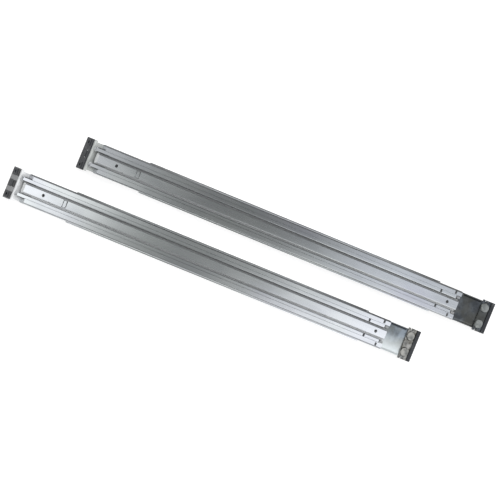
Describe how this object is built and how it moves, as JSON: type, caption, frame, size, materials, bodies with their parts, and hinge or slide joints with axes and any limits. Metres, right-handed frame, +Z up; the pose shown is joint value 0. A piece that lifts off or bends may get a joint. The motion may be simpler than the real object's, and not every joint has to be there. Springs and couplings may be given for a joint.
{
  "type": "sliding server rail pair",
  "caption": "Pair of telescoping three-member ball-bearing rack rails with hooked front flanges, sprung latches and a depth-adjusting rear bracket.",
  "frame": {"origin": "middle of the pair's box, on the surface that the flange edges lie on", "axes": "+X from the front rack face to the rear one, +Y across the rails towards the left rail, +Z up, away from the rack posts' side and towards the server"},
  "size_m": [0.7398, 0.116, 0.0326],
  "materials": {
    "zinc_plate": "rolled sheet steel, bright zinc plated",
    "black_steel": "black oxide steel, satin",
    "pin_steel": "plain nickel plated steel",
    "spring_steel": "blued spring steel",
    "cage_steel": "thin zinc plated strip",
    "ball_steel": "polished bearing steel",
    "nylon": "natural white nylon"
  },
  "bodies": {
    "fixed_rails": {"right_front_bracket": "zinc_plate", "right_front_lug_plate": "black_steel", "right_front_lugs": "black_steel", "right_front_latch_pin": "pin_steel", "right_front_latch_spring": "spring_steel", "right_bracket_rivets": "pin_steel", "right_outer_rail": "zinc_plate", "right_support_channel": "zinc_plate", "right_channel_rivets": "pin_steel", "right_rear_bumper": "nylon", "left_front_bracket": "zinc_plate", "left_front_lug_plate": "black_steel", "left_front_lugs": "black_steel", "left_front_latch_pin": "pin_steel", "left_front_latch_spring": "spring_steel", "left_bracket_rivets": "pin_steel", "left_outer_rail": "zinc_plate", "left_support_channel": "zinc_plate", "left_channel_rivets": "pin_steel", "left_rear_bumper": "nylon"},
    "right_front_hook": {"right_front_latch": "black_steel"},
    "right_outer_race": {"right_outer_ball_cage": "cage_steel", "right_outer_balls": "ball_steel"},
    "right_middle": {"right_middle_rail": "zinc_plate", "right_pawl_rivet": "pin_steel"},
    "right_pawl": {"right_lock_pawl": "spring_steel"},
    "right_inner_race": {"right_inner_ball_cage": "cage_steel", "right_inner_balls": "ball_steel"},
    "right_inner": {"right_inner_rail": "zinc_plate", "right_release_pin": "pin_steel"},
    "right_lever": {"right_release_lever": "spring_steel"},
    "right_rear_end": {"right_extension_plate": "zinc_plate", "right_rear_flange": "zinc_plate", "right_rear_rivets": "pin_steel", "right_rear_lug_plate": "black_steel", "right_rear_lugs": "black_steel", "right_rear_latch_pin": "pin_steel", "right_rear_latch_spring": "spring_steel"},
    "right_rear_hook": {"right_rear_latch": "black_steel"},
    "left_front_hook": {"left_front_latch": "black_steel"},
    "left_outer_race": {"left_outer_ball_cage": "cage_steel", "left_outer_balls": "ball_steel"},
    "left_middle": {"left_middle_rail": "zinc_plate", "left_pawl_rivet": "pin_steel"},
    "left_pawl": {"left_lock_pawl": "spring_steel"},
    "left_inner_race": {"left_inner_ball_cage": "cage_steel", "left_inner_balls": "ball_steel"},
    "left_inner": {"left_inner_rail": "zinc_plate", "left_release_pin": "pin_steel"},
    "left_lever": {"left_release_lever": "spring_steel"},
    "left_rear_end": {"left_extension_plate": "zinc_plate", "left_rear_flange": "zinc_plate", "left_rear_rivets": "pin_steel", "left_rear_lug_plate": "black_steel", "left_rear_lugs": "black_steel", "left_rear_latch_pin": "pin_steel", "left_rear_latch_spring": "spring_steel"},
    "left_rear_hook": {"left_rear_latch": "black_steel"}
  },
  "joints": [
    {"name": "right_middle_slide", "type": "slide", "parent": "fixed_rails", "child": "right_middle", "axis": [-1, 0, 0], "range_m": [0, 0.295]},
    {"name": "right_outer_cage_slide", "type": "slide", "parent": "fixed_rails", "child": "right_outer_race", "axis": [-1, 0, 0], "range_m": [0, 0.1475]},
    {"name": "right_inner_slide", "type": "slide", "parent": "right_middle", "child": "right_inner", "axis": [-1, 0, 0], "range_m": [0, 0.295]},
    {"name": "right_inner_cage_slide", "type": "slide", "parent": "right_middle", "child": "right_inner_race", "axis": [-1, 0, 0], "range_m": [0, 0.1475]},
    {"name": "right_pawl_swing", "type": "hinge", "parent": "right_middle", "child": "right_pawl", "pos_m": [0.151, -0.03625, 0.0245], "axis": [0, 0, -1], "range_deg": [0, 7], "stiffness_Nm_per_rad": 0.05, "springref_deg": -6.88},
    {"name": "right_release_lever_press", "type": "hinge", "parent": "right_inner", "child": "right_lever", "pos_m": [-0.251, -0.03625, 0.02975], "axis": [0, -1, 0], "range_deg": [0, 3], "stiffness_Nm_per_rad": 0.3, "springref_deg": -5.73},
    {"name": "right_depth_slide", "type": "slide", "parent": "fixed_rails", "child": "right_rear_end", "axis": [1, 0, 0], "range_m": [0, 0.24]},
    {"name": "right_front_latch_slide", "type": "slide", "parent": "fixed_rails", "child": "right_front_hook", "axis": [-1, 0, 0], "range_m": [0, 0.004]},
    {"name": "right_rear_latch_slide", "type": "slide", "parent": "right_rear_end", "child": "right_rear_hook", "axis": [1, 0, 0], "range_m": [0, 0.004]},
    {"name": "left_middle_slide", "type": "slide", "parent": "fixed_rails", "child": "left_middle", "axis": [-1, 0, 0], "range_m": [0, 0.295]},
    {"name": "left_outer_cage_slide", "type": "slide", "parent": "fixed_rails", "child": "left_outer_race", "axis": [-1, 0, 0], "range_m": [0, 0.1475]},
    {"name": "left_inner_slide", "type": "slide", "parent": "left_middle", "child": "left_inner", "axis": [-1, 0, 0], "range_m": [0, 0.295]},
    {"name": "left_inner_cage_slide", "type": "slide", "parent": "left_middle", "child": "left_inner_race", "axis": [-1, 0, 0], "range_m": [0, 0.1475]},
    {"name": "left_pawl_swing", "type": "hinge", "parent": "left_middle", "child": "left_pawl", "pos_m": [0.235, 0.03625, 0.0245], "axis": [0, 0, 1], "range_deg": [0, 7], "stiffness_Nm_per_rad": 0.05, "springref_deg": -6.88},
    {"name": "left_release_lever_press", "type": "hinge", "parent": "left_inner", "child": "left_lever", "pos_m": [-0.167, 0.03625, 0.02975], "axis": [0, -1, 0], "range_deg": [0, 3], "stiffness_Nm_per_rad": 0.3, "springref_deg": -5.73},
    {"name": "left_depth_slide", "type": "slide", "parent": "fixed_rails", "child": "left_rear_end", "axis": [1, 0, 0], "range_m": [-0.005, 0.235]},
    {"name": "left_front_latch_slide", "type": "slide", "parent": "fixed_rails", "child": "left_front_hook", "axis": [-1, 0, 0], "range_m": [0, 0.004]},
    {"name": "left_rear_latch_slide", "type": "slide", "parent": "left_rear_end", "child": "left_rear_hook", "axis": [1, 0, 0], "range_m": [0, 0.004]}
  ],
  "couplings": [
    {"joint": "right_outer_cage_slide", "follows": "right_middle_slide", "ratio": 0.5},
    {"joint": "right_inner_cage_slide", "follows": "right_inner_slide", "ratio": 0.5},
    {"joint": "left_outer_cage_slide", "follows": "left_middle_slide", "ratio": 0.5},
    {"joint": "left_inner_cage_slide", "follows": "left_inner_slide", "ratio": 0.5}
  ]
}
